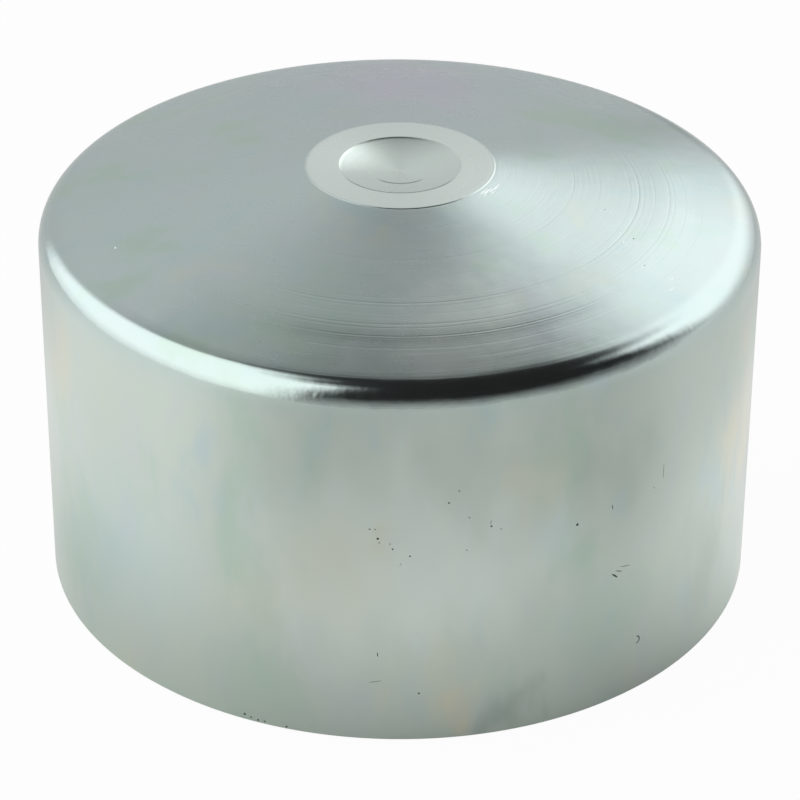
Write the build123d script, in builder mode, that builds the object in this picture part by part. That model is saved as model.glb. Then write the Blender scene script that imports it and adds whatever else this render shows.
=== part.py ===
"""Tube end cap: one cup of sheet steel, spun over a former and zinc plated.

The cap slips over the end of a round tube. Its mouth lies in the XY plane and its axis is +Z. The
closed end is a shallow crown: a dome next to the shoulder, then a cone, up to the flat land where
the follower clamped the blank. The land has a dished centre mark. The inner skin is the outer skin
moved in by the sheet, so the crown, the land and the mark all show from inside too. Lengths are in
millimetres and angles in degrees.
"""

import os
from math import cos, hypot, radians, sin, sqrt, tan

from build123d import *

# The tube that the cap goes over, and the play around it
TUBE_DIAMETER = 60.3
TUBE_CLEARANCE = 0.35  # on the radius

# The cup
SHEET = 1.5
OVERALL_HEIGHT = 39.0
SHOULDER_RADIUS = 2.5  # outside, between the wall and the crown
TIGHTEST_BEND = 0.4  # least radius that the former gives an inside corner
RIM_CHAMFER = 0.15  # both edges of the mouth, deburred

# The closed end
CROWN_SLOPE = 9.4  # of the cone
CONE_RADIUS = 20.0  # where the cone passes into the dome
CROWN_THINNING = 0.1  # spinning draws the crown thinner, so the clamped land stands proud of it
LAND_WIDTH = 2.9  # flat ring round the centre mark
MARK_RADIUS = 5.4  # centre mark, at the land's face
MARK_DEPTH = 0.5
MARK_LIP_RADIUS = 0.3

# The outer skin. Cone and dome meet in one tangent, and the dome is a sphere round the axis
BORE_RADIUS = TUBE_DIAMETER / 2 + TUBE_CLEARANCE
OUTER_RADIUS = BORE_RADIUS + SHEET
LAND_RADIUS = MARK_RADIUS + LAND_WIDTH
SLOPE = radians(CROWN_SLOPE)
CONE_TOP = OVERALL_HEIGHT - CROWN_THINNING
CONE_FOOT = CONE_TOP - (CONE_RADIUS - LAND_RADIUS) * tan(SLOPE)
DOME_RADIUS = CONE_RADIUS / sin(SLOPE)
DOME_CENTRE = CONE_FOOT - DOME_RADIUS * cos(SLOPE)
MARK_SPHERE = (MARK_RADIUS**2 + MARK_DEPTH**2) / (2 * MARK_DEPTH)

# The inner skin, each face of it a sheet inside the outer one
CROWN_SHEET = SHEET - CROWN_THINNING
INNER_SHOULDER_RADIUS = max(SHOULDER_RADIUS - SHEET, TIGHTEST_BEND)
INNER_DOME_RADIUS = DOME_RADIUS - CROWN_SHEET
INNER_CONE_RADIUS = CONE_RADIUS - CROWN_SHEET * sin(SLOPE)
INNER_CONE_FOOT = CONE_FOOT - CROWN_SHEET * cos(SLOPE)
INNER_LAND_HEIGHT = OVERALL_HEIGHT - SHEET
INNER_LAND_RADIUS = INNER_CONE_RADIUS - (INNER_LAND_HEIGHT - INNER_CONE_FOOT) / tan(SLOPE)
MARK_BACK_RADIUS = sqrt(MARK_DEPTH * (2 * (MARK_SPHERE + SHEET) - MARK_DEPTH))


def sphere_height(radius, x):
    """Height of a sphere round the dome's centre, at a distance from the axis."""
    return DOME_CENTRE + sqrt(radius**2 - x**2)


def corner(outline, x, y):
    """The corner of an outline that lies nearest to a distance from the axis and a height."""
    return min(outline.vertices(), key=lambda vertex: hypot(vertex.X - x, vertex.Y - y))


with BuildPart() as end_cap:
    # Half of the cup's section: x is the distance from the axis, and y is the height
    with BuildSketch(Plane.XZ) as section:
        # The outer skin, from the rim up the wall and in to the axis
        corner_height = sphere_height(DOME_RADIUS, OUTER_RADIUS)
        with BuildLine():
            mouth = Line((0, 0), (OUTER_RADIUS, 0))
            wall = Line(mouth @ 1, (OUTER_RADIUS, corner_height))
            dome = RadiusArc(wall @ 1, (CONE_RADIUS, CONE_FOOT), -DOME_RADIUS)
            cone = Line(dome @ 1, (LAND_RADIUS, CONE_TOP))
            land = Polyline(cone @ 1, (LAND_RADIUS, OVERALL_HEIGHT), (MARK_RADIUS, OVERALL_HEIGHT))
            mark = TangentArc((0, OVERALL_HEIGHT - MARK_DEPTH), land @ 1, tangent=(1, 0))
            Line(mark @ 0, mouth @ 0)
        make_face()
        fillet(corner(section, OUTER_RADIUS, corner_height), SHOULDER_RADIUS)
        fillet(corner(section, MARK_RADIUS, OVERALL_HEIGHT), MARK_LIP_RADIUS)

        # The room inside, which has the former's shape
        with BuildSketch(mode=Mode.SUBTRACT) as room:
            corner_height = sphere_height(INNER_DOME_RADIUS, BORE_RADIUS)
            mark_top = INNER_LAND_HEIGHT - MARK_DEPTH
            with BuildLine():
                mouth = Line((0, 0), (BORE_RADIUS, 0))
                bore = Line(mouth @ 1, (BORE_RADIUS, corner_height))
                dome = RadiusArc(bore @ 1, (INNER_CONE_RADIUS, INNER_CONE_FOOT), -INNER_DOME_RADIUS)
                cone = Line(dome @ 1, (INNER_LAND_RADIUS, INNER_LAND_HEIGHT))
                land = Line(cone @ 1, (MARK_BACK_RADIUS, INNER_LAND_HEIGHT))
                mark_back = TangentArc((0, mark_top), land @ 1, tangent=(1, 0))
                Line(mark_back @ 0, mouth @ 0)
            make_face()
            fillet(corner(room, BORE_RADIUS, corner_height), INNER_SHOULDER_RADIUS)

        for radius in (OUTER_RADIUS, BORE_RADIUS):
            chamfer(corner(section, radius, 0), RIM_CHAMFER)
    revolve(axis=Axis.Z)
end_cap.part.label = "end_cap"

os.makedirs("parts", exist_ok=True)
export_step(end_cap.part, "parts/end_cap.step")
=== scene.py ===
"""Tube end cap: a cup of sheet steel, spun over a former and zinc plated, on a pale studio floor.

Run as a script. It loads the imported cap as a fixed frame, models the cap's finished skin round it
and sets the stage. Lengths are in metres in the code, and in millimetres in the numbers at the top,
apart from the camera's.
"""

import math

import bpy
from mathutils import Matrix, Quaternion, Vector


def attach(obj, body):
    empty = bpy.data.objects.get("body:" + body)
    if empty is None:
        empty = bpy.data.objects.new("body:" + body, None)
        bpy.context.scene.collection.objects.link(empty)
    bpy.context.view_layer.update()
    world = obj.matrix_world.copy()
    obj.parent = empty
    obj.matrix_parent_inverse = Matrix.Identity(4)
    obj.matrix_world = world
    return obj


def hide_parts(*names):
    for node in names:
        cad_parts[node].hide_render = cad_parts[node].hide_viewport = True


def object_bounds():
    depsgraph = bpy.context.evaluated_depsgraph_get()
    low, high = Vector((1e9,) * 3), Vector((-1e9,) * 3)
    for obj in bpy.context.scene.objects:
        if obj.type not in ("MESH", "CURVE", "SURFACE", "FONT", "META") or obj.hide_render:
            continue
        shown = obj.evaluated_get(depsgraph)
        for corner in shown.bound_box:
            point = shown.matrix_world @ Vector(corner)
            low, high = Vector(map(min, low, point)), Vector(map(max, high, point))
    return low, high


bl_info = {
    "name": "Spun tube end cap",
    "version": (1, 0, 0),
    "blender": (4, 5, 0),
    "location": "View3D > Sidebar > End cap",
    "description": "Models a spun, zinc plated tube end cap and its studio",
    "category": "Add Mesh",
}

MM = 0.001
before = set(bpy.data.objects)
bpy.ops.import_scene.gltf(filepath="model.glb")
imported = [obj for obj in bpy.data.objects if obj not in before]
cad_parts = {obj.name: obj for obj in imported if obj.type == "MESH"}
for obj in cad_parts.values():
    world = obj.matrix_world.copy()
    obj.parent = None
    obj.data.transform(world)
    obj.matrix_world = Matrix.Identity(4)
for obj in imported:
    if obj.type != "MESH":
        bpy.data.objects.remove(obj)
CAD_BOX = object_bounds()
CAD_RADIUS = (CAD_BOX[1].x - CAD_BOX[0].x) / 2
CAD_HEIGHT = CAD_BOX[1].z

# Rings of the mesh
SIDES = 288  # round the cap, so one facet is 0.7 mm wide at the wall
WALL_RINGS = 32
BEND_RINGS = 18
LIP_RINGS = 5
INNER_RINGS = 8  # in each part of the bore, the inner bend and the inner dome
MARK_BACK_RINGS = 10
CROWN_PITCH = 0.7  # between the plain rings of the crown
LINE_CLEAR = 0.25  # from a plain ring to a drawn one
BEND_CLEAR = 0.3  # from the last plain ring to the bend
TIGHTEST_BEND = 0.4  # the least radius that the former gives an inside corner

# Turned lines that the spinning tool left on the crown: distance from the axis, depth, in mm
TOOL_LINES = [
    (13.2, 0.003),
    (15.3, 0.006),
    (17.6, 0.004),
    (20.3, 0.005),
    (21.05, 0.014),
    (21.5, 0.007),
    (22.45, 0.005),
    (23.75, 0.012),
    (24.2, 0.009),
    (25.2, 0.014),
    (25.5, 0.007),
    (26.6, 0.008),
    (27.9, 0.005),
]
TOOL_LINE_HALF_WIDTH = 0.08
TOOL_LINE_BESIDE = 1.7  # half widths out from a line, where a ring holds the crown's slope
LEDGE_RADIUS = 22.9  # the tool stopped here, and the crown steps down from cone to dome
LEDGE_WIDTH = 3.0
LAND_EDGE = 0.14  # width of the step up to the land
LAND_STEP = 0.03  # what is left of the step, once the crown has eased up to the land
LAND_EASE = 7.0  # over this distance
# The step's soft slope: share of its width out from the land, and share of its rise
LAND_CURVE = ((1, 0), (0.8, 0.05), (0.6, 0.22), (0.2, 0.78), (0, 0.95), (-0.2, 1))

# The centre mark has a short steep wall inside its lip, and then a shallow dish
MARK_WALL = 0.08
MARK_WALL_SLOPE = 24
MARK_RINGS = 26
MARK_POWER = 2.1

# Plating pits: degrees round from the front, height or distance from the axis, half width, in mm
WALL_PITS = [
    (-4.2, 21.5, 0.07),
    (-3.4, 21.5, 0.06),
    (-3.0, 20.6, 0.11),
    (-2.8, 20.2, 0.06),
    (-1.2, 20.1, 0.06),
    (-0.8, 19.6, 0.08),
    (0.4, 18.1, 0.05),
    (1.8, 18.9, 0.08),
    (7.5, 24.0, 0.08),
    (9.0, 25.1, 0.07),
    (10.3, 19.2, 0.06),
    (10.6, 22.4, 0.06),
    (14.0, 21.3, 0.09),
    (15.5, 20.9, 0.06),
    (28.0, 19.7, 0.13),
    (42.7, 20.4, 0.06),
    (3.3, 4.9, 0.09),
    (-24.3, 0.62, 0.12),
    (-23.2, 0.46, 0.08),
    (-22.0, 0.36, 0.10),
    (-20.9, 0.38, 0.09),
    (-17.3, 0.30, 0.10),
]
CROWN_PITS = [(65.6, 22.1, 0.07), (74.4, 18.5, 0.06), (58.0, 24.6, 0.06)]

# Slim dark nicks in the wall: degrees, height, length, width, turn from level in degrees
WALL_NICKS = [
    (35.3, 13.15, 0.85, 0.16, 42),
    (36.1, 13.45, 0.8, 0.09, 22),
    (37.3, 13.7, 1.3, 0.06, 12),
    (34.3, 20.3, 0.6, 0.08, 78),
    (44.7, 21.6, 1.6, 0.05, 90),
    (-3.4, 6.1, 1.3, 0.06, -12),
    (-3.0, 8.9, 0.45, 0.09, 88),
    (13.9, 21.7, 0.5, 0.05, 96),
]
HOOK = (40.4, 5.3, 0.36, 0.06)  # degrees, height, bend radius and half width of a hooked nick

# Bright scratches on the crown beside the land: degrees, distance from the axis, length, width
CROWN_SCRATCHES = [
    (57.0, 8.75, 1.5, 0.12),
    (59.0, 8.95, 1.7, 0.14),
    (62.0, 9.15, 1.4, 0.10),
    (66.0, 9.25, 1.3, 0.12),
    (60.0, 9.38, 0.9, 0.09),
    (54.5, 9.2, 0.7, 0.08),
    (56.0, 27.9, 1.2, 0.08),
    (58.5, 27.2, 0.9, 0.07),
    (63.0, 21.6, 0.6, 0.07),
    (64.5, 22.6, 0.7, 0.07),
    (66.0, 20.8, 0.5, 0.07),
    (-68.4, 26.3, 0.35, 0.14),
]

# Tints of the passivate: what causes it, where it starts and where it is full, its share and colour
TINTS = [
    ("height", 30 * MM, 35 * MM, 1, "zinc_crown"),
    ("cloud", 0.56, 0.74, 0.3, "zinc_cream"),
    ("cloud", 0.46, 0.3, 0.7, "zinc_green"),
    ("wisp", 0.54, 0.74, 0.35, "zinc_violet"),
    ("wisp", 0.46, 0.3, 0.7, "zinc_blue"),
]

# Soft patches, where it dried thicker or thinner, and patches of painted shade and painted reflection:
# degrees, height, distance from the axis and reach in mm, then the colour and its share
PATCHES = [
    (180, 36, 21, 17, "zinc_violet", 0.9),
    (150, 35, 25, 9, "zinc_blue", 0.3),
    (95, 35, 25, 8, "zinc_blue", 0.7),
    (-150, 36, 20, 8, "zinc_blue", 0.5),
    (-22, 35, 25, 11, "zinc_green", 0.6),
    # Painted reflection, in the pale land zinc, on the front of the wall
    (-8, 18, 32, 14, "zinc_land_and_painted_reflection", 0.6),
    (12, 19, 32, 12, "zinc_land_and_painted_reflection", 0.5),
    (-10, 17, 32, 8, "zinc_cream", 0.4),
    (21, 25, 32, 5, "zinc_cream", 0.4),
    # Painted shade, in the darker grey green, down to the next comment: where the wall mirrors shade on
    # the floor
    (35, 24, 32, 6, "zinc_painted_shade", 0.35),
    (8, 26, 32, 5, "zinc_painted_shade", 0.25),
    (58, 11, 32, 9, "zinc_painted_shade", 0.55),
    # Painted shadow: the cap's own shadow on the floor, mirrored low in the wall at the front right
    (19, 0.8, 32, 3.4, "zinc_painted_shade", 0.9),
    (70, 18, 32, 8, "zinc_cream", 0.9),
    (72, 27, 32, 5, "zinc_cream", 0.5),
    (10.5, 3, 32, 4, "zinc_cream", 1.0),
    (-3, 21, 32, 2.5, "zinc_cream", 0.5),
    (-24, 13, 32, 6, "zinc_cream", 0.35),
    (-68, 26, 32, 6, "zinc_cream", 0.6),
    (-66, 6, 32, 8, "zinc_green", 0.8),
    (-48, 12, 32, 12, "zinc_blue", 0.6),
    (-20, 4, 32, 7, "zinc_green", 0.5),
    (33, 9, 32, 9, "zinc_green", 0.5),
    (80, 5, 32, 7, "zinc_green", 0.6),
    # Painted reflection, in the pale land zinc, on the front of the crown
    (14, 35, 25, 11, "zinc_land_and_painted_reflection", 0.7),
]
# Thin arcs of painted shade in the centre mark, dark lines along its lip and in its dish: distance from
# the axis, half width, start and end in degrees round from the back on both sides, and share
PAINTED_SHADE_ARCS = [
    (5.42, 0.05, -30, 50, 0.35),
    (5.42, 0.08, 125, 200, 0.85),
    (2.75, 0.11, 140, 200, 0.75),
]
PAINTED_SHADE_SOFT = 0.08  # across an arc's edge
PAINTED_SHADE_FADE = 14  # in degrees, along an arc's ends
PATCH_DRIFT = 16  # how far the wisps pull the patches' edges about, in mm for a full step of noise
# Where the land and the mark change colour: distance from the axis and softness, in mm
LAND_TINTS = ((8.3, 0.25, "zinc_land_and_painted_reflection"), (5.4, 0.1, "zinc_mark"))

# Sizes of the finish's patterns
CLOUD_SIZE = 9
WISP_SIZE = 5
RINSE_STRETCH = 0.45  # the rinse drew clouds down the wall, to 1 / 0.45 of their width
RING_PITCH = 0.3
DIP_SIZE = 4
RUMPLE_SIZE = 2.6
BURR_SIZE = 0.1
GRIT_SIZE = 0.08
RING_BUMP = 0.006
DIP_BUMP = 0.02
RUMPLE_BUMP = 0.06
RING_FADES = 2.6  # how often the rings fade in and out on the way round
RUMPLE_BAND = (32, 34.4, 0.8)  # lowest, highest and softness
ROLLED_FROM = (30.5, 33)  # heights where the wall's gloss gives way to the bend's
CROWN_ENDS = (29.2, 30.2)  # distances from the axis where the crown's gloss gives way
GRAIN = 0.45  # how strongly the tool's lines spread the light

PAPER_WHITE = 0.96  # to the camera
# Painted light on the paper, seen only in the cap's mirror: pools of light, and painted shadow where they
# dim close to the cap
PAPER_DIM = 0.1  # outside the pools of light, in the cap's mirror
RING_POOL = (40, 60, 13)  # distances from the axis, and softness
RING_SHARE = 0.3
# Other pools: ends and softness, in degrees round from the back and positive to the right, then the
# distances where it starts and is full, its share at the start, how that grows, and its full share
POOLS = [
    (-140, -60, 25, 30, 72, 0.1, "LINEAR", 0.85),
    (48, 109, 18, 0, 1, 1, "LINEAR", 0.36),
    (72, 128, 15, 60, 42, 0, "SMOOTHSTEP", 0.25),
]

# Softboxes by direction, in degrees: ends, their softness, top, its softness, then the share of
# light at the horizon and the height where it is full
LEFT_BOX = (-148, -38, 12, 74, 7, 0.8, 22)
RIGHT_BOX = (16, 400, 7, 47.5, 8, 0.55, 27)
RIGHT_BOX_LEAN = 0.24  # of its far end, to the left for each degree up
RIGHT_BOX_TILT = -0.09  # of its top edge, up for each degree to the right
RIGHT_BOX_NEAR_END = (-60, 80, 14)
BACK_WALL_SIDES = (-119, 12, 4)
BACK_WALL_TOP = (58.5, 4)
BACK_WALL_FADES = ((38, 51, 1, 0.62), (12, 40, 0.9, 1))  # two heights, and the shares of light there
LOW_WALL_SIDES = (20, 92, 12)
LOW_WALL_GAIN = 1.75  # between those sides
LOW_WALL_FADE = (42, -5)  # heights where it ends and where it is full
ROOM_GLOW = 0.02
BELOW = -200  # lower than any direction, for a window with no foot

# The camera, in radians and metres, and its lens and film in mm
CAMERA_ELEVATION = 0.5401
CAMERA_AIM = (0.0001, 0, 0.01484)
CAMERA_DISTANCE = 0.3174
CAMERA_LENS = 156.14
CAMERA_FILM = 36
CAMERA_ROLL = 0.0055


class EndCapShape(bpy.types.PropertyGroup):
    """Sizes of the spun cup."""

    outer_radius: bpy.props.FloatProperty(
        name="Outer radius",
        description="Outside radius of the wall",
        default=CAD_RADIUS,
        unit="LENGTH",
        precision=5,
    )
    height: bpy.props.FloatProperty(
        name="Height",
        description="From the rim to the land",
        default=CAD_HEIGHT,
        unit="LENGTH",
        precision=5,
    )
    sheet: bpy.props.FloatProperty(
        name="Sheet",
        description="Thickness of the sheet steel",
        default=1.5 * MM,
        unit="LENGTH",
        precision=5,
    )
    shoulder_radius: bpy.props.FloatProperty(
        name="Shoulder radius",
        description="Outside bend between the wall and the crown",
        default=2.5 * MM,
        unit="LENGTH",
        precision=5,
    )
    crown_slope: bpy.props.FloatProperty(
        name="Crown slope",
        description="Slope of the cone",
        default=math.radians(9.4),
        subtype="ANGLE",
    )
    cone_radius: bpy.props.FloatProperty(
        name="Cone radius",
        description="Where the cone passes into the dome",
        default=20 * MM,
        unit="LENGTH",
        precision=5,
    )
    crown_thinning: bpy.props.FloatProperty(
        name="Crown thinning",
        description="How far the clamped land stands proud of the crown",
        default=0.1 * MM,
        unit="LENGTH",
        precision=5,
    )
    land_width: bpy.props.FloatProperty(
        name="Land width",
        description="Flat ring round the centre mark",
        default=2.9 * MM,
        unit="LENGTH",
        precision=5,
    )
    mark_radius: bpy.props.FloatProperty(
        name="Mark radius",
        description="Dished centre mark, at the land",
        default=5.4 * MM,
        unit="LENGTH",
        precision=5,
    )
    mark_depth: bpy.props.FloatProperty(
        name="Mark depth",
        description="Depth of the dished centre mark",
        default=0.62 * MM,
        unit="LENGTH",
        precision=5,
    )
    mark_lip: bpy.props.FloatProperty(
        name="Mark lip",
        description="Radius of the round edge of the centre mark",
        default=0.15 * MM,
        unit="LENGTH",
        precision=5,
    )
    rim_chamfer: bpy.props.FloatProperty(
        name="Rim chamfer",
        description="Deburred edges of the mouth",
        default=0.15 * MM,
        unit="LENGTH",
        precision=5,
    )


class EndCapFinish(bpy.types.PropertyGroup):
    """Colours of the plating."""

    zinc: bpy.props.StringProperty(
        name="Wall zinc",
        description="Grey green of the passivated zinc on the wall, as an sRGB hex value",
        default="#c9d4cb",
    )
    zinc_crown: bpy.props.StringProperty(
        name="Crown zinc",
        description="Cooler grey of the worked zinc on the crown, as an sRGB hex value",
        default="#c2d1cf",
    )
    # The land's own paler zinc, and also painted reflection in pale patches on the front of the wall and
    # crown
    zinc_land_and_painted_reflection: bpy.props.StringProperty(
        name="Land zinc",
        description="Paler zinc on the land, which the follower pressed, as an sRGB hex value",
        default="#e4efea",
    )
    zinc_mark: bpy.props.StringProperty(
        name="Mark zinc",
        description="Zinc in the dished centre mark, as an sRGB hex value",
        default="#dbe7e2",
    )
    zinc_blue: bpy.props.StringProperty(
        name="Blue passivate",
        description="Where the passivate is thinner, as an sRGB hex value",
        default="#bdcfd1",
    )
    zinc_green: bpy.props.StringProperty(
        name="Green passivate",
        description="Where the rinse ran off, as an sRGB hex value",
        default="#b9cfc1",
    )
    zinc_cream: bpy.props.StringProperty(
        name="Cream passivate",
        description="Where the passivate is thicker, as an sRGB hex value",
        default="#d8d6c2",
    )
    # Painted shade: this darker grey green darkens the wall where it mirrors shade on the floor, and the
    # cap's own shadow near the rim at the front right
    zinc_painted_shade: bpy.props.StringProperty(
        name="Shaded passivate",
        description="Darker grey green where the rinse pooled, as an sRGB hex value",
        default="#aebdb4",
    )
    zinc_violet: bpy.props.StringProperty(
        name="Violet passivate",
        description="Faint violet bloom, as an sRGB hex value",
        default="#cbcdd8",
    )
    # Dark residue in the pits and nicks, partly painted shade in those recesses, and also the painted
    # shade arcs in the centre mark
    pit_and_painted_shade: bpy.props.StringProperty(
        name="Pit",
        description="Dark residue in the plating pits, as an sRGB hex value",
        default="#707c79",
    )
    wall_roughness: bpy.props.FloatProperty(
        name="Wall roughness",
        description="Roughness of the plate on the wall",
        default=0.2,
        min=0,
        max=1,
        subtype="FACTOR",
    )
    crown_roughness: bpy.props.FloatProperty(
        name="Crown roughness",
        description="Roughness of the plate on the crown",
        default=0.27,
        min=0,
        max=1,
        subtype="FACTOR",
    )
    bend_roughness: bpy.props.FloatProperty(
        name="Bend roughness",
        description="Roughness of the plate on the rolled shoulder",
        default=0.15,
        min=0,
        max=1,
        subtype="FACTOR",
    )


class EndCapStudio(bpy.types.PropertyGroup):
    """Floor and light."""

    floor: bpy.props.StringProperty(
        name="Floor",
        description="Pale floor, as an sRGB hex value",
        default="#eeefee",
    )
    softbox: bpy.props.FloatProperty(
        name="Softboxes",
        description="Radiance of the softboxes",
        default=1.5,
        min=0,
    )
    back_wall: bpy.props.FloatProperty(
        name="Back wall",
        description="Radiance of the pale wall behind the cap",
        default=0.66,
        min=0,
    )
    low_wall: bpy.props.FloatProperty(
        name="Low wall",
        description="Radiance of the pale low wall right round the table",
        default=0.52,
        min=0,
    )


class EndCapSettings(bpy.types.PropertyGroup):
    """All that a user would change."""

    shape: bpy.props.PointerProperty(type=EndCapShape)
    finish: bpy.props.PointerProperty(type=EndCapFinish)
    studio: bpy.props.PointerProperty(type=EndCapStudio)


def linear(hex_value):
    """An sRGB hex value as a linear RGBA colour."""
    channels = [int(hex_value[i : i + 2], 16) / 255 for i in (1, 3, 5)]
    return (*[c / 12.92 if c <= 0.04045 else ((c + 0.055) / 1.055) ** 2.4 for c in channels], 1)


def add_node(tree, kind, inputs=None, **settings):
    """Add one node. Each input is given a value, or linked when it is given a socket."""
    node = tree.nodes.new(kind)
    for name, value in settings.items():
        setattr(node, name, value)
    for key, value in (inputs or {}).items():
        if isinstance(value, bpy.types.NodeSocket):
            tree.links.new(value, node.inputs[key])
        else:
            node.inputs[key].default_value = value
    return node


def soft_window(tree, value, low, high, soft):
    """A share that is 1 between two values and fades to 0 over a soft edge at each."""
    rise = add_node(
        tree,
        "ShaderNodeMapRange",
        {0: value, 1: low - soft, 2: low + soft},
        interpolation_type="SMOOTHSTEP",
    )
    fall = add_node(
        tree,
        "ShaderNodeMapRange",
        {0: value, 1: high + soft, 2: high - soft},
        interpolation_type="SMOOTHSTEP",
    )
    return add_node(
        tree, "ShaderNodeMath", {0: rise.outputs[0], 1: fall.outputs[0]}, operation="MULTIPLY"
    ).outputs[0]


def deselect_all():
    """Leave object mode with nothing selected."""
    if bpy.context.object and bpy.context.object.mode != "OBJECT":
        bpy.ops.object.mode_set(mode="OBJECT")
    bpy.ops.object.select_all(action="DESELECT")


def round_cap(angle, height, out):
    """A point at degrees round from the front, a height and a distance from the axis."""
    turn = math.radians(angle)
    return Vector((out * math.sin(turn), -out * math.cos(turn), height))


def arc(centre, radius, start, end, steps):
    """Points of a half section along an arc between two angles in degrees, both ends included."""
    points = []
    for step in range(steps + 1):
        turn = math.radians(start + (end - start) * step / steps)
        points.append((centre[0] + radius * math.cos(turn), centre[1] + radius * math.sin(turn)))
    return points


def slope_of(centre, point):
    """Angle in degrees of a point of the half section, seen from a centre."""
    return math.degrees(math.atan2(point[1] - centre[1], point[0] - centre[0]))


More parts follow.
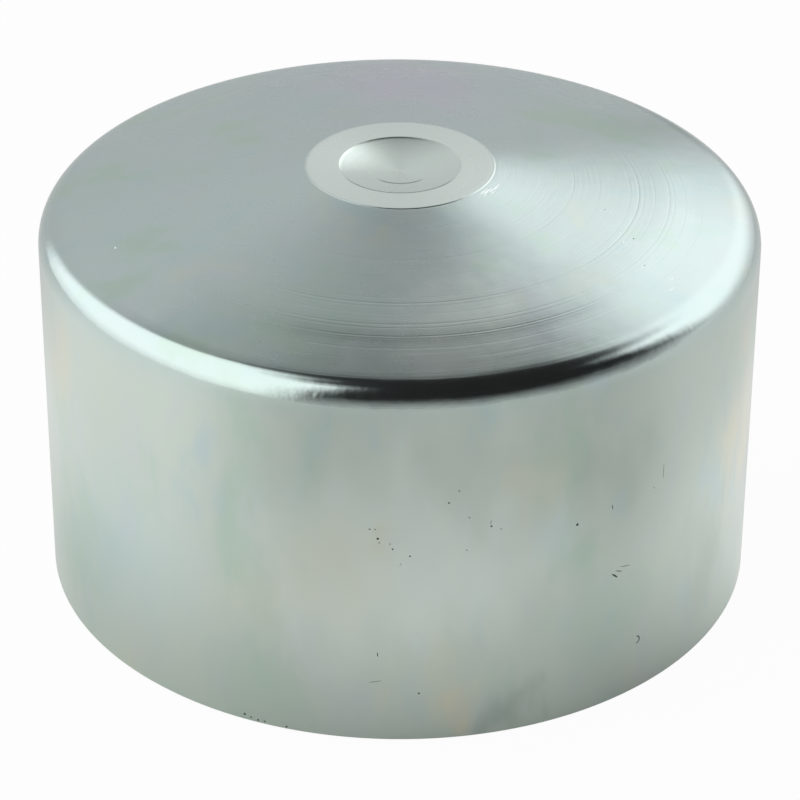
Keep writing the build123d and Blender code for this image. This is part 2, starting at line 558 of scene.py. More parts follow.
class CapSection:
    """The half section of the cup, (distance from the axis, height), in metres."""

    def __init__(self, shape):
        self.radius = shape.outer_radius
        self.height = shape.height
        self.sheet = shape.sheet
        self.shoulder = shape.shoulder_radius
        self.slope = shape.crown_slope
        self.mark_radius = shape.mark_radius
        self.mark_depth = shape.mark_depth
        self.lip = shape.mark_lip
        self.chamfer = shape.rim_chamfer
        self.thinning = shape.crown_thinning
        self.land_radius = shape.mark_radius + shape.land_width
        self.cone_radius = shape.cone_radius
        self.cone_top = shape.height - shape.crown_thinning
        self.cone_foot = self.cone_top - (self.cone_radius - self.land_radius) * math.tan(self.slope)
        self.dome_radius = self.cone_radius / math.sin(self.slope)
        self.dome_centre = self.cone_foot - self.dome_radius * math.cos(self.slope)
        self.mark_bottom = shape.height - shape.mark_depth
        self.mark_sphere = (self.mark_radius**2 + self.mark_depth**2) / (2 * self.mark_depth)
        self.mark_centre = self.height - self.mark_depth + self.mark_sphere

    def mark_wall_foot(self, height):
        """Height at the foot of the mark's steep wall, which starts at a height."""
        return height - MARK_WALL * MM * math.tan(math.radians(MARK_WALL_SLOPE))

    def dome_height(self, out):
        """Height of the dome at a distance from the axis."""
        return self.dome_centre + math.sqrt(self.dome_radius**2 - out**2)

    def cone_height(self, out):
        """Height of the cone at a distance from the axis."""
        return self.cone_top - (out - self.land_radius) * math.tan(self.slope)

    def crown_height(self, out):
        """Height of the crown, with its ledge and its turned lines."""
        ledge = LEDGE_RADIUS * MM
        if out <= ledge:
            height = self.cone_height(out)
        elif out >= ledge + LEDGE_WIDTH * MM:
            height = self.dome_height(out)
        else:
            share = (out - ledge) / (LEDGE_WIDTH * MM)
            height = (1 - share) * self.cone_height(out) + share * self.dome_height(out)
        away = (out - self.land_radius) / (LAND_EASE * MM)
        if away < 1:
            height += (self.thinning - LAND_STEP * MM) * (1 - away) ** 2
        for line, depth in TOOL_LINES:
            aside = abs(out - line * MM) / (TOOL_LINE_HALF_WIDTH * MM)
            height -= depth * MM * max(0, 1 - aside)
        return height

    def crown(self, outermost):
        """The crown from the shoulder in to the land."""
        half = TOOL_LINE_HALF_WIDTH
        beside = TOOL_LINE_BESIDE * half
        outs = {LEDGE_RADIUS, LEDGE_RADIUS + LEDGE_WIDTH}
        for line, _ in TOOL_LINES:
            outs |= {line - beside, line - half, line, line + half, line + beside}
        drawn = sorted(outs)
        step = self.land_radius / MM + 3 * LAND_EDGE
        while step < outermost / MM - BEND_CLEAR:
            if min(abs(step - out) for out in drawn) > LINE_CLEAR:
                outs.add(step)
            step += CROWN_PITCH
        return [(out * MM, self.crown_height(out * MM)) for out in sorted(outs, reverse=True)]

    def outside(self):
        """From the outer edge of the rim, up the wall, over the shoulder and in to the axis."""
        foot = self.chamfer
        points = [(self.radius - foot, 0), (self.radius, foot)]
        dome = (0, self.dome_centre)
        bend_out = self.radius - self.shoulder
        reach = self.dome_radius - self.shoulder
        bend = (bend_out, self.dome_centre + math.sqrt(reach**2 - bend_out**2))
        rise = (bend[1] - foot) / WALL_RINGS
        points += [(self.radius, foot + rise * ring) for ring in range(1, WALL_RINGS)]
        points += arc(bend, self.shoulder, 0, slope_of(dome, bend), BEND_RINGS)
        points += self.crown(points[-1][0])
        # The step up to the land is a soft slope, rounded at its foot and at its top
        step = self.height - self.crown_height(self.land_radius + LAND_EDGE * MM)
        for along, share in LAND_CURVE:
            out = self.land_radius + LAND_EDGE * MM * along
            points.append((out, self.height - step * (1 - share)))
        lip = self.lip
        lip_out = self.mark_radius + lip * math.tan(math.radians(MARK_WALL_SLOPE / 2))
        for share in (0.75, 0.5, 0.25):
            points.append((lip_out + (self.land_radius - lip_out) * share, self.height))
        # A short steep wall inside the lip, then a dish that eases out to nothing at the axis
        points += arc((lip_out, self.height - lip), lip, 90, 90 + MARK_WALL_SLOPE, LIP_RINGS)
        foot = (points[-1][0] - MARK_WALL * MM, self.mark_wall_foot(points[-1][1]))
        points.append(foot)
        for ring in range(1, MARK_RINGS):
            out = foot[0] * (1 - ring / MARK_RINGS)
            share = out / foot[0]
            points.append((out, self.mark_bottom + (foot[1] - self.mark_bottom) * share**MARK_POWER))
        return points, (0, self.mark_bottom)

    def inside(self):
        """From the inner edge of the rim, up the bore and in to the axis."""
        bore = self.radius - self.sheet
        foot = self.chamfer
        crown_sheet = self.sheet - self.thinning
        dome = (0, self.dome_centre)
        dome_radius = self.dome_radius - crown_sheet
        bend_radius = max(self.shoulder - self.sheet, TIGHTEST_BEND * MM)
        bend_out = bore - bend_radius
        reach = dome_radius - bend_radius
        bend = (bend_out, self.dome_centre + math.sqrt(reach**2 - bend_out**2))
        cone_out = self.cone_radius - crown_sheet * math.sin(self.slope)
        cone_foot = self.cone_foot - crown_sheet * math.cos(self.slope)
        land = self.height - self.sheet
        land_out = cone_out - (land - cone_foot) / math.tan(self.slope)
        mark_sphere = self.mark_sphere + self.sheet
        mark_out = math.sqrt(mark_sphere**2 - (self.mark_centre - land) ** 2)
        points = [(bore + foot, 0), (bore, foot)]
        rise = (bend[1] - foot) / INNER_RINGS
        points += [(bore, foot + rise * ring) for ring in range(1, INNER_RINGS)]
        points += arc(bend, bend_radius, 0, slope_of(dome, bend), INNER_RINGS)
        start = slope_of(dome, points[-1])
        points += arc(dome, dome_radius, start, slope_of(dome, (cone_out, cone_foot)), INNER_RINGS)[1:]
        for share in (0.33, 0.67, 1.0):
            out = cone_out + (land_out - cone_out) * share
            points.append((out, cone_foot + (land - cone_foot) * share))
        points += [((land_out + mark_out) / 2, land), (mark_out, land)]
        centre = (0, self.mark_centre)
        start = slope_of(centre, (mark_out, land))
        points += arc(centre, mark_sphere, start, -90, MARK_BACK_RINGS)[1:-1]
        return points, (0, land - self.mark_depth)


def spin_up(points, tip, first):
    """Extrude the selected ring of radius `first[0]` through a half section and close it at its tip."""
    out, height = first
    for next_out, next_height in points:
        rise = (0, 0, next_height - height)
        bpy.ops.mesh.extrude_edges_move(TRANSFORM_OT_translate={"value": rise})
        scale = next_out / out
        bpy.ops.transform.resize(value=(scale, scale, 1), center_override=(0, 0, 0))
        out, height = next_out, next_height
    bpy.ops.mesh.extrude_edges_move(TRANSFORM_OT_translate={"value": (0, 0, tip[1] - height)})
    bpy.ops.mesh.merge(type="CENTER")


def select_ring(cap, out, height):
    """Select the ring of vertices at a distance from the axis and a height, in edit mode."""
    bpy.ops.mesh.select_all(action="DESELECT")
    bpy.ops.object.mode_set(mode="OBJECT")
    for vertex in cap.data.vertices:
        place = vertex.co
        near = abs(math.hypot(place.x, place.y) - out) < 1e-6
        vertex.select = near and abs(place.z - height) < 1e-6
    bpy.ops.object.mode_set(mode="EDIT")
    bpy.ops.mesh.select_mode(type="VERT")
    bpy.ops.mesh.select_mode(type="EDGE")


def cut_with(cap, cutters):
    """Cut the joined cutters out of the cap. The cut faces keep the cutters' material."""
    cut = cap.modifiers.new("Cut", "BOOLEAN")
    cut.operation = "DIFFERENCE"
    cut.solver = "MANIFOLD"
    cut.material_mode = "TRANSFER"
    cut.object = cutters
    bpy.context.view_layer.objects.active = cap
    bpy.ops.object.modifier_apply(modifier=cut.name)
    bpy.data.objects.remove(cutters)


def join(parts, name):
    """Join objects into one."""
    deselect_all()
    for part in parts:
        part.select_set(True)
    bpy.context.view_layer.objects.active = parts[0]
    bpy.ops.object.join()
    parts[0].name = name
    return parts[0]


def dent_cutter(place, outward, along, length, width):
    """A small spindle that leaves a dent of that length and width at a place on the skin."""
    deep = width * 0.4
    # Half of the spindle's depth stands outside the skin, so the dent is 0.87 of its full size
    half_sizes = Vector((length / 1.74, width / 1.74, 2 * deep))
    turn = Matrix((along, outward.cross(along), outward)).transposed()
    deselect_all()
    bpy.ops.mesh.primitive_ico_sphere_add(subdivisions=3, radius=1)
    dent = bpy.context.object
    dent.scale = half_sizes
    dent.rotation_euler = turn.to_euler()
    dent.location = place + outward * deep
    bpy.ops.object.transform_apply(location=True, rotation=True, scale=True)
    return dent


def hook_cutter(place, outward, bend, half_width):
    """A small tilted ring that dips into the skin on one side and leaves a hooked nick."""
    deselect_all()
    dip = (outward + Vector((0, 0, 1)).cross(outward) * 0.2).normalized()
    bpy.ops.mesh.primitive_torus_add(
        major_segments=32,
        minor_segments=8,
        major_radius=bend,
        minor_radius=half_width,
        location=place + outward * half_width * 0.8,
        rotation=dip.to_track_quat("Z", "Y").to_euler(),
    )
    bpy.ops.object.transform_apply(location=True, rotation=True, scale=True)
    return bpy.context.object


def start_material(name, metallic):
    """A new material, its node tree, its shader, and the place on the piece."""
    material = bpy.data.materials.new(name)
    material.use_nodes = True
    tree = material.node_tree
    shader = tree.nodes["Principled BSDF"]
    shader.inputs["Metallic"].default_value = metallic
    return material, tree, shader, add_node(tree, "ShaderNodeTexCoord").outputs["Object"]


def passivated_zinc(settings):
    """Electroplated zinc under a clear passivate, on spun steel.

    To the eye: a satin grey green mirror, clouded with soft patches of cream, blue and violet, with
    faint rings round the axis where the spinning tool passed.
    """
    material, tree, shader, place = start_material("passivated_zinc", 1)
    # The tool's lines run round the cap and spread the light across them
    shader.inputs["Anisotropic"].default_value = GRAIN
    shader.inputs["Anisotropic Rotation"].default_value = 0.25

    axes = add_node(tree, "ShaderNodeSeparateXYZ", {0: place})
    flat = add_node(tree, "ShaderNodeCombineXYZ", {0: axes.outputs[0], 1: axes.outputs[1]})
    out = add_node(tree, "ShaderNodeVectorMath", {0: flat.outputs[0]}, operation="LENGTH")
    around = add_node(tree, "ShaderNodeVectorMath", {0: flat.outputs[0]}, operation="NORMALIZE")
    tangent = add_node(
        tree, "ShaderNodeVectorMath", {0: (0, 0, 1), 1: around.outputs[0]}, operation="CROSS_PRODUCT"
    )
    tree.links.new(tangent.outputs[0], shader.inputs["Tangent"])

    # Clouds of passivate, 5 to 15 mm across, drawn down the wall by the rinse
    drip = add_node(tree, "ShaderNodeMapping", {0: place, "Scale": (1, 1, RINSE_STRETCH)})
    cloud = add_node(
        tree,
        "ShaderNodeTexNoise",
        {"Vector": drip.outputs[0], "Scale": 1 / (CLOUD_SIZE * MM), "Detail": 4, "Roughness": 0.55},
    )
    wisp = add_node(
        tree,
        "ShaderNodeTexNoise",
        {"Vector": drip.outputs[0], "Scale": 1 / (WISP_SIZE * MM), "Detail": 3, "W": 4.0},
        noise_dimensions="4D",
    )
    height = axes.outputs[2]
    distance = out.outputs["Value"]
    clouds = {"cloud": cloud.outputs[0], "wisp": wisp.outputs[0], "height": height}
    # Each coat of colour is a share and a name, and covers the ones before it
    coats = []
    for cause, none, full, most, name in TINTS:
        share = add_node(
            tree,
            "ShaderNodeMapRange",
            {0: clouds[cause], 1: none, 2: full, 3: 0, 4: most},
            interpolation_type="SMOOTHSTEP",
        )
        coats.append((share.outputs[0], name))
    stray = add_node(
        tree,
        "ShaderNodeVectorMath",
        {0: wisp.outputs["Color"], 1: (0.5, 0.5, 0.5)},
        operation="SUBTRACT",
    )
    drifted = add_node(
        tree,
        "ShaderNodeVectorMath",
        {0: stray.outputs[0], 1: (PATCH_DRIFT * MM,) * 3, 2: place},
        operation="MULTIPLY_ADD",
    )
    # Patches of passivate tint, and of painted shade and painted reflection, which the table above sets
    # apart
    for angle, high, aside, reach, name, most in PATCHES:
        centre = round_cap(angle, high * MM, aside * MM)
        near = add_node(
            tree, "ShaderNodeVectorMath", {0: drifted.outputs[0], 1: centre}, operation="DISTANCE"
        )
        share = add_node(
            tree,
            "ShaderNodeMapRange",
            {0: near.outputs["Value"], 1: reach * MM, 2: 0, 3: 0, 4: most},
            interpolation_type="SMOOTHSTEP",
        )
        coats.append((share.outputs[0], name))
    # The land is paler than the crown round it, and the mark inside it is a little darker
    for edge, soft, name in LAND_TINTS:
        within = add_node(
            tree,
            "ShaderNodeMapRange",
            {0: distance, 1: (edge + soft) * MM, 2: (edge - soft) * MM},
            interpolation_type="SMOOTHSTEP",
        )
        coats.append((within.outputs[0], name))
    turn = add_node(
        tree, "ShaderNodeMath", {0: axes.outputs[0], 1: axes.outputs[1]}, operation="ARCTAN2"
    )
    # Degrees round from the back on both sides, so an arc at the front runs up to 180
    side = add_node(tree, "ShaderNodeMath", {0: turn.outputs[0]}, operation="DEGREES")
    side = add_node(tree, "ShaderNodeMath", {0: side.outputs[0]}, operation="ABSOLUTE")
    # Painted shade: dark arcs, in the pit colour, along the mark's lip and across its dish
    for where, half_width, start, end, most in PAINTED_SHADE_ARCS:
        near, far = (where - half_width) * MM, (where + half_width) * MM
        ring = soft_window(tree, distance, near, far, PAINTED_SHADE_SOFT * MM)
        stretch = soft_window(tree, side.outputs[0], start, end, PAINTED_SHADE_FADE)
        share = add_node(tree, "ShaderNodeMath", {0: ring, 1: stretch}, operation="MULTIPLY")
        share = add_node(
            tree, "ShaderNodeMath", {0: share.outputs[0], 1: most}, operation="MULTIPLY"
        )
        coats.append((share.outputs[0], "pit_and_painted_shade"))
    colour = linear(settings.zinc)
    for share, name in coats:
        coat = linear(getattr(settings, name))
        colour = add_node(
            tree, "ShaderNodeMix", {0: share, 6: colour, 7: coat}, data_type="RGBA"
        ).outputs[2]
    tree.links.new(colour, shader.inputs["Base Color"])

    # The crown is left satin by the tool, the wall smoother, and the bend was rolled smoothest
    satin = add_node(
        tree,
        "ShaderNodeMapRange",
        {
            0: height,
            1: ROLLED_FROM[0] * MM,
            2: ROLLED_FROM[1] * MM,
            3: settings.wall_roughness,
            4: settings.bend_roughness,
        },
        interpolation_type="SMOOTHSTEP",
    )
    at_bend = add_node(
        tree,
        "ShaderNodeMapRange",
        {0: distance, 1: CROWN_ENDS[0] * MM, 2: CROWN_ENDS[1] * MM},
        interpolation_type="SMOOTHSTEP",
    )
    satin = add_node(
        tree, "ShaderNodeMix", {0: at_bend.outputs[0], 2: settings.crown_roughness, 3: satin.outputs[0]}
    )
    unevenness = add_node(
        tree, "ShaderNodeMapRange", {0: cloud.outputs[0], 1: 0.3, 2: 0.7, 3: 0.9, 4: 1.1}
    )
    rough = add_node(
        tree, "ShaderNodeMath", {0: satin.outputs[0], 1: unevenness.outputs[0]}, operation="MULTIPLY"
    )
    tree.links.new(rough.outputs[0], shader.inputs["Roughness"])

    # Rings of the spinning tool: noise along the section, one value right round the cap but for a
    # slow change, so the lines fade in and out. The real lines are finer, about 0.1 mm
    along = add_node(tree, "ShaderNodeMath", {0: distance, 1: height}, operation="SUBTRACT")
    line_pitch = add_node(
        tree, "ShaderNodeMath", {0: along.outputs[0], 1: 1 / (RING_PITCH * MM)}, operation="MULTIPLY"
    )
    slow = add_node(
        tree, "ShaderNodeVectorMath", {0: around.outputs[0], 3: RING_FADES}, operation="SCALE"
    )
    slow_axes = add_node(tree, "ShaderNodeSeparateXYZ", {0: slow.outputs[0]})
    ring_place = add_node(
        tree,
        "ShaderNodeCombineXYZ",
        {0: slow_axes.outputs[0], 1: slow_axes.outputs[1], 2: line_pitch.outputs[0]},
    )
    rings = add_node(
        tree,
        "ShaderNodeTexNoise",
        {"Vector": ring_place.outputs[0], "Scale": 1, "Detail": 3, "Roughness": 0.6},
    )
    # The sheet is not quite true: shallow dips a few millimetres across
    dips = add_node(
        tree,
        "ShaderNodeTexNoise",
        {"Vector": drip.outputs[0], "Scale": 1 / (DIP_SIZE * MM), "Detail": 2, "Roughness": 0.5},
    )
    # The foot of the bend is rumpled where the roller left it
    rumple = add_node(
        tree,
        "ShaderNodeTexNoise",
        {"Vector": place, "Scale": 1 / (RUMPLE_SIZE * MM), "Detail": 3, "Roughness": 0.5},
    )
    at_foot = soft_window(tree, height, *[size * MM for size in RUMPLE_BAND])
    rumple = add_node(
        tree, "ShaderNodeMath", {0: rumple.outputs[0], 1: at_foot}, operation="MULTIPLY"
    )
    bumps = {"Strength": 1}
    for relief, deep in ((rings, RING_BUMP), (dips, DIP_BUMP), (rumple, RUMPLE_BUMP)):
        bumps |= {"Distance": deep * MM, "Height": relief.outputs[0]}
        bumps["Normal"] = add_node(tree, "ShaderNodeBump", bumps).outputs[0]
    tree.links.new(bumps["Normal"], shader.inputs["Normal"])
    return material


def bare_scratch(settings):
    """Zinc scratched bright after plating: to the eye, short white glints."""
    material, tree, shader, place = start_material("bare_scratch", 1)
    burr = add_node(
        tree, "ShaderNodeTexNoise", {"Vector": place, "Scale": 1 / (BURR_SIZE * MM), "Detail": 2}
    ).outputs[0]
    bright = linear(settings.zinc_land_and_painted_reflection)
    colour = add_node(
        tree,
        "ShaderNodeMix",
        {0: burr, 6: bright, 7: [min(1, c * 1.25) for c in bright[:3]] + [1]},
        data_type="RGBA",
    )
    tree.links.new(colour.outputs[2], shader.inputs["Base Color"])
    rough = add_node(tree, "ShaderNodeMapRange", {0: burr, 3: 0.2, 4: 0.4})
    tree.links.new(rough.outputs[0], shader.inputs["Roughness"])
    return material


def pit_residue_and_painted_shade(settings):
    """Dull dark residue left in pinholes and nicks of the plating, partly painted shade in those recesses:
    to the eye, matt dark grey specks.
    """
    material, tree, shader, place = start_material("pit_residue_and_painted_shade", 0)
    grit = add_node(
        tree, "ShaderNodeTexNoise", {"Vector": place, "Scale": 1 / (GRIT_SIZE * MM), "Detail": 2}
    )
    dark = linear(settings.pit_and_painted_shade)
    shade = add_node(
        tree,
        "ShaderNodeMix",
        {0: grit.outputs[0], 6: [c * 0.5 for c in dark[:3]] + [1], 7: dark},
        data_type="RGBA",
    )
    tree.links.new(shade.outputs[2], shader.inputs["Base Color"])
    rough = add_node(tree, "ShaderNodeMapRange", {0: grit.outputs[0], 3: 0.5, 4: 0.8})
    tree.links.new(rough.outputs[0], shader.inputs["Roughness"])
    return material


class ENDCAP_OT_spin_cap(bpy.types.Operator):
    """Model the spun cup, from the rim up and over to the centre mark, and back up inside"""

    bl_idname = "end_cap.spin_cap"
    bl_label = "Spin the cap"

    def execute(self, context):
        settings = context.scene.end_cap
        section = CapSection(settings.shape)
        outside, outside_tip = section.outside()
        inside, inside_tip = section.inside()
        deselect_all()
        bpy.ops.mesh.primitive_circle_add(vertices=SIDES, radius=outside[0][0], fill_type="NOTHING")
        cap = context.object
        cap.name = "spun_cap"
        bpy.ops.object.mode_set(mode="EDIT")
        bpy.ops.mesh.select_mode(type="EDGE")
        spin_up(outside[1:], outside_tip, outside[0])
        select_ring(cap, *outside[0])
        spin_up(inside, inside_tip, outside[0])
        bpy.ops.mesh.select_all(action="SELECT")
        bpy.ops.mesh.remove_doubles(threshold=1e-7)
        bpy.ops.mesh.normals_make_consistent(inside=False)
        bpy.ops.object.mode_set(mode="OBJECT")
        if len(cap.data.polygons) < SIDES * 100:
            raise RuntimeError("the cap was not spun whole")
        cap.data.materials.append(passivated_zinc(settings.finish))
        bpy.ops.object.shade_smooth_by_angle(angle=math.radians(30))
        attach(cap, "root")
        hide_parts("end_cap")
        return {"FINISHED"}


class ENDCAP_OT_mark_skin(bpy.types.Operator):
    """Cut the plating pits, nicks and scratches into the cap's skin"""

    bl_idname = "end_cap.mark_skin"
    bl_label = "Mark the skin"

    def execute(self, context):
        settings = context.scene.end_cap
        self.section = CapSection(settings.shape)
        cap = bpy.data.objects["spun_cap"]
        pits = [self.wall_dent(angle, high, 2 * half, 2 * half, 0) for angle, high, half in WALL_PITS]
        pits += [self.wall_dent(*nick) for nick in WALL_NICKS]
        pits += [self.crown_dent(angle, out, 2 * half, 2 * half) for angle, out, half in CROWN_PITS]
        angle, high, bend, half_width = HOOK
        place = round_cap(angle, high * MM, self.section.radius)
        pits.append(hook_cutter(place, round_cap(angle, 0, 1), bend * MM, half_width * MM))
        scratches = [self.crown_dent(*scratch) for scratch in CROWN_SCRATCHES]
        for parts, material in (
            (pits, pit_residue_and_painted_shade(settings.finish)),
            (scratches, bare_scratch(settings.finish)),
        ):
            cutter = join(parts, "skin_cutter")
            cutter.data.materials.append(material)
            whole = len(cap.data.polygons)
            cut_with(cap, cutter)
            if len(cap.data.polygons) < whole or material.name not in cap.data.materials:
                raise RuntimeError(f"{material.name} was not cut into the cap")
        return {"FINISHED"}

    def wall_dent(self, angle, high, length, width, turn):
        """A dent in the wall, turned from level by some degrees."""
        outward = round_cap(angle, 0, 1)
        level = Vector((0, 0, 1)).cross(outward)
        along = Matrix.Rotation(math.radians(-turn), 3, outward) @ level
        place = round_cap(angle, high * MM, self.section.radius)
        return dent_cutter(place, outward, along, length * MM, width * MM)

    def crown_dent(self, angle, out, length, width):
        """A dent in the crown that runs round the axis."""
        slope = self.section.slope
        outward = round_cap(angle, math.cos(slope), math.sin(slope))
        along = Vector((0, 0, 1)).cross(outward).normalized()
        place = round_cap(angle, self.section.crown_height(out * MM), out * MM)
        return dent_cutter(place, outward, along, length * MM, width * MM)


class ENDCAP_OT_studio(bpy.types.Operator):
    """Set the pale floor, the two softboxes, the back wall and the camera"""

    bl_idname = "end_cap.studio"
    bl_label = "Set the studio"

    def execute(self, context):
        studio = context.scene.end_cap.studio
        self.add_floor(studio)
        self.light_world(context.scene, studio)
        self.add_camera(context.scene)
        context.scene.view_settings.view_transform = "Standard"
        return {"FINISHED"}

    def add_floor(self, studio):
        """A wide floor that looks white to the camera and keeps the cap's shadow. In the cap's mirror it
        shows painted pools of light, and painted shadow close to the cap.
        """
        deselect_all()
        bpy.ops.mesh.primitive_circle_add(vertices=96, radius=4, fill_type="NGON")
        floor = bpy.context.object
        floor.name = "studio_floor"
        material = bpy.data.materials.new("white_paper")
        material.use_nodes = True
        tree = material.node_tree
        tree.nodes.clear()
        paper = add_node(tree, "ShaderNodeBsdfDiffuse", {"Color": linear(studio.floor)})
        glow = add_node(tree, "ShaderNodeEmission", {"Color": (1, 1, 1, 1), "Strength": 1})
        rays = add_node(tree, "ShaderNodeLightPath")
        place = add_node(tree, "ShaderNodeTexCoord").outputs["Object"]
        axes = add_node(tree, "ShaderNodeSeparateXYZ", {0: place})
        turn = add_node(
            tree, "ShaderNodeMath", {0: axes.outputs[0], 1: axes.outputs[1]}, operation="ARCTAN2"
        )
        side = add_node(tree, "ShaderNodeMath", {0: turn.outputs[0]}, operation="DEGREES").outputs[0]
        out = add_node(tree, "ShaderNodeVectorMath", {0: place}, operation="LENGTH")
        distance = out.outputs["Value"]
        # Painted light, seen only in the cap's mirror: the paper glows in a ring round the cap, in front
        # of the left softbox and, less, of the right; the ring and the left pool dim close to the cap, a
        # painted shadow
        ring = soft_window(tree, distance, *[size * MM for size in RING_POOL])
        lit = add_node(
            tree, "ShaderNodeMath", {0: ring, 1: RING_SHARE, 2: PAPER_DIM}, operation="MULTIPLY_ADD"
        ).outputs[0]
        for start, end, soft, near, far, least, growth, most in POOLS:
            pool = soft_window(tree, side, start, end, soft)
            reach = add_node(
                tree,
                "ShaderNodeMapRange",
                {0: distance, 1: near * MM, 2: far * MM, 3: least, 4: 1},
                interpolation_type=growth,
            )
            pool = add_node(tree, "ShaderNodeMath", {0: pool, 1: reach.outputs[0]}, operation="MULTIPLY")
            lit = add_node(
                tree, "ShaderNodeMath", {0: pool.outputs[0], 1: most, 2: lit}, operation="MULTIPLY_ADD"
            ).outputs[0]
        mirrored = add_node(
            tree,
            "ShaderNodeMath",
            {0: rays.outputs["Is Glossy Ray"], 1: rays.outputs["Is Transmission Ray"]},
            operation="MAXIMUM",
        )
        reflected = add_node(
            tree, "ShaderNodeMath", {0: mirrored.outputs[0], 1: lit}, operation="MULTIPLY"
        )
        share = add_node(
            tree,
            "ShaderNodeMath",
            {0: rays.outputs["Is Camera Ray"], 1: PAPER_WHITE, 2: reflected.outputs[0]},
            operation="MULTIPLY_ADD",
        )
        mixed = add_node(
            tree, "ShaderNodeMixShader", {0: share.outputs[0], 1: paper.outputs[0], 2: glow.outputs[0]}
        )
        add_node(tree, "ShaderNodeOutputMaterial", {0: mixed.outputs[0]})
        floor.data.materials.append(material)

    def light_world(self, scene, studio):
        """Softboxes left and right, a pale back wall and a low one, by direction, in a dark room."""
        world = bpy.data.worlds.new("studio")
        scene.world = world
        world.use_nodes = True
        tree = world.node_tree
        tree.nodes.clear()
        way = add_node(tree, "ShaderNodeTexCoord").outputs["Generated"]
        axes = add_node(tree, "ShaderNodeSeparateXYZ", {0: way})
        rise = add_node(tree, "ShaderNodeMath", {0: axes.outputs[2]}, operation="ARCSINE")
        height = add_node(tree, "ShaderNodeMath", {0: rise.outputs[0]}, operation="DEGREES").outputs[0]
        back = add_node(
            tree, "ShaderNodeMath", {0: axes.outputs[0], 1: axes.outputs[1]}, operation="ARCTAN2"
        )
        # Degrees round from straight behind the cap, positive to the right
        side = add_node(tree, "ShaderNodeMath", {0: back.outputs[0]}, operation="DEGREES").outputs[0]

        # Each softbox: its ends, its top edge, and how bright it is at its foot
        lean = add_node(
            tree, "ShaderNodeMath", {0: height, 1: RIGHT_BOX_LEAN, 2: side}, operation="MULTIPLY_ADD"
        )
        tilt = add_node(
            tree, "ShaderNodeMath", {0: side, 1: RIGHT_BOX_TILT, 2: height}, operation="MULTIPLY_ADD"
        )
        shares = []
        for along, up, box in (
            (side, height, LEFT_BOX),
            (lean.outputs[0], tilt.outputs[0], RIGHT_BOX),
        ):
            start, end, soft, top, top_soft, foot, foot_high = box
            ends = soft_window(tree, along, start, end, soft)
            rise = soft_window(tree, up, BELOW, top, top_soft)
            fade = add_node(
                tree,
                "ShaderNodeMapRange",
                {0: height, 1: 0, 2: foot_high, 3: foot, 4: 1},
                interpolation_type="SMOOTHSTEP",
            )
            face = add_node(tree, "ShaderNodeMath", {0: ends, 1: rise}, operation="MULTIPLY")
            face = add_node(
                tree, "ShaderNodeMath", {0: face.outputs[0], 1: fade.outputs[0]}, operation="MULTIPLY"
            )
            shares.append(face.outputs[0])
        # The right softbox leans: its near end is upright, and its far end slopes
        near_end = soft_window(tree, side, *RIGHT_BOX_NEAR_END)
        shares[1] = add_node(
            tree, "ShaderNodeMath", {0: shares[1], 1: near_end}, operation="MULTIPLY"
        ).outputs[0]
        boxes = add_node(tree, "ShaderNodeMath", {0: shares[0], 1: shares[1]}, operation="MAXIMUM")
        box_light = add_node(
            tree, "ShaderNodeMath", {0: boxes.outputs[0], 1: studio.softbox}, operation="MULTIPLY"
        )
        # The back wall is brightest at 38 to 40 degrees up, fades above, and ends below 60
        wall = soft_window(tree, height, BELOW, *BACK_WALL_TOP)
        for start, end, first, last in BACK_WALL_FADES:
            fade = add_node(
                tree,
                "ShaderNodeMapRange",
                {0: height, 1: start, 2: end, 3: first, 4: last},
                interpolation_type="SMOOTHSTEP",
            )
            wall = add_node(
                tree, "ShaderNodeMath", {0: fade.outputs[0], 1: wall}, operation="MULTIPLY"
            ).outputs[0]
        wall_side = soft_window(tree, side, *BACK_WALL_SIDES)
        wall = add_node(tree, "ShaderNodeMath", {0: wall_side, 1: wall}, operation="MULTIPLY")
        room = add_node(
            tree,
            "ShaderNodeMath",
            {0: wall.outputs[0], 1: studio.back_wall, 2: ROOM_GLOW},
            operation="MULTIPLY_ADD",
        )
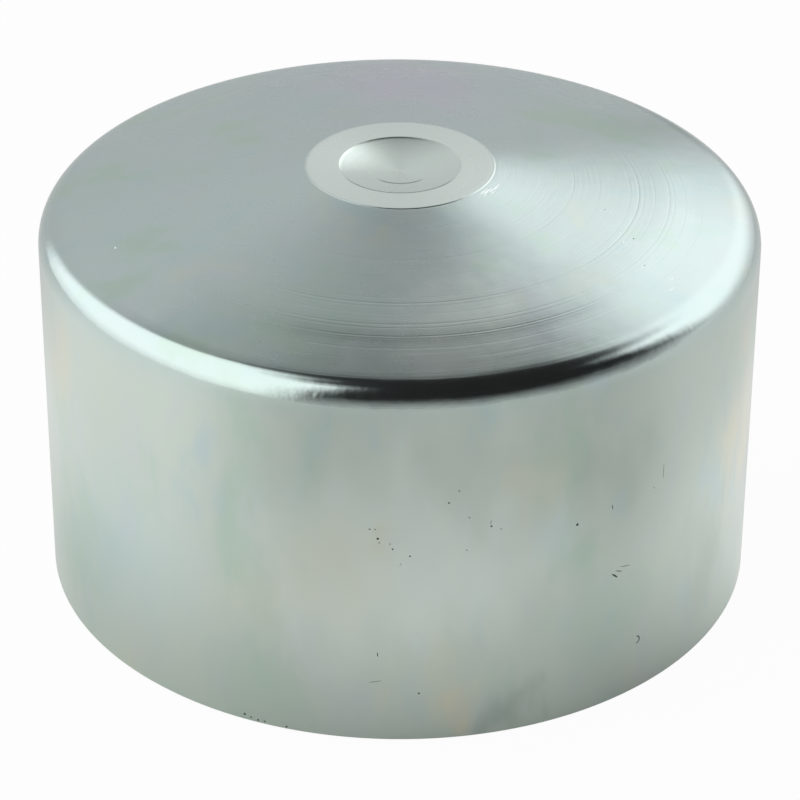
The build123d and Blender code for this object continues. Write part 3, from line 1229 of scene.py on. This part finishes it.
        # The low wall is brighter to the right and fades upwards
        low_side = soft_window(tree, side, *LOW_WALL_SIDES)
        low_share = add_node(
            tree,
            "ShaderNodeMapRange",
            {0: low_side, 3: studio.low_wall, 4: studio.low_wall * LOW_WALL_GAIN},
        )
        low_height = add_node(
            tree,
            "ShaderNodeMapRange",
            {0: height, 1: LOW_WALL_FADE[0], 2: LOW_WALL_FADE[1]},
            interpolation_type="SMOOTHSTEP",
        )
        low = add_node(
            tree,
            "ShaderNodeMath",
            {0: low_share.outputs[0], 1: low_height.outputs[0]},
            operation="MULTIPLY",
        )
        walls = add_node(
            tree, "ShaderNodeMath", {0: low.outputs[0], 1: room.outputs[0]}, operation="MAXIMUM"
        )
        light = add_node(
            tree, "ShaderNodeMath", {0: box_light.outputs[0], 1: walls.outputs[0]}, operation="MAXIMUM"
        )
        lit = add_node(tree, "ShaderNodeBackground", {"Color": (1, 1, 1, 1), "Strength": light.outputs[0]})
        white = add_node(tree, "ShaderNodeBackground", {"Color": (1, 1, 1, 1), "Strength": 1})
        rays = add_node(tree, "ShaderNodeLightPath")
        mixed = add_node(
            tree,
            "ShaderNodeMixShader",
            {0: rays.outputs["Is Camera Ray"], 1: lit.outputs[0], 2: white.outputs[0]},
        )
        add_node(tree, "ShaderNodeOutputWorld", {0: mixed.outputs[0]})

    def add_camera(self, scene):
        """A long lens that looks down at the cap from the front."""
        away = Vector((0, -math.cos(CAMERA_ELEVATION), math.sin(CAMERA_ELEVATION)))
        deselect_all()
        bpy.ops.object.camera_add(location=Vector(CAMERA_AIM) + away * CAMERA_DISTANCE)
        camera = bpy.context.object
        camera.name = "studio_camera"
        camera.data.lens = CAMERA_LENS
        camera.data.sensor_width = CAMERA_FILM
        camera.data.clip_start = 0.01
        camera.data.clip_end = 20
        camera.rotation_mode = "QUATERNION"
        level = (-away).to_track_quat("-Z", "Y")
        camera.rotation_quaternion = level @ Quaternion((0, 0, 1), CAMERA_ROLL)
        scene.camera = camera


class ENDCAP_PT_panel(bpy.types.Panel):
    """The end cap's sizes, colours and steps."""

    bl_idname = "ENDCAP_PT_panel"
    bl_label = "End cap"
    bl_space_type = "VIEW_3D"
    bl_region_type = "UI"
    bl_category = "End cap"

    def draw(self, context):
        settings = context.scene.end_cap
        for group in (settings.shape, settings.finish, settings.studio):
            box = self.layout.box()
            for name in group.bl_rna.properties.keys():
                if name not in {"rna_type", "name"}:
                    box.prop(group, name)
        for step in STEPS:
            self.layout.operator(step.bl_idname)


STEPS = (ENDCAP_OT_spin_cap, ENDCAP_OT_mark_skin, ENDCAP_OT_studio)
CLASSES = (EndCapShape, EndCapFinish, EndCapStudio, EndCapSettings, *STEPS, ENDCAP_PT_panel)


def register():
    """Register the classes and the settings."""
    for cls in CLASSES:
        bpy.utils.register_class(cls)
    bpy.types.Scene.end_cap = bpy.props.PointerProperty(type=EndCapSettings)


def unregister():
    """Remove the settings and the classes."""
    del bpy.types.Scene.end_cap
    for cls in reversed(CLASSES):
        bpy.utils.unregister_class(cls)


def main():
    """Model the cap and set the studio."""
    register()
    bpy.ops.end_cap.spin_cap()
    bpy.ops.end_cap.mark_skin()
    bpy.ops.end_cap.studio()


if __name__ == "__main__":
    main()
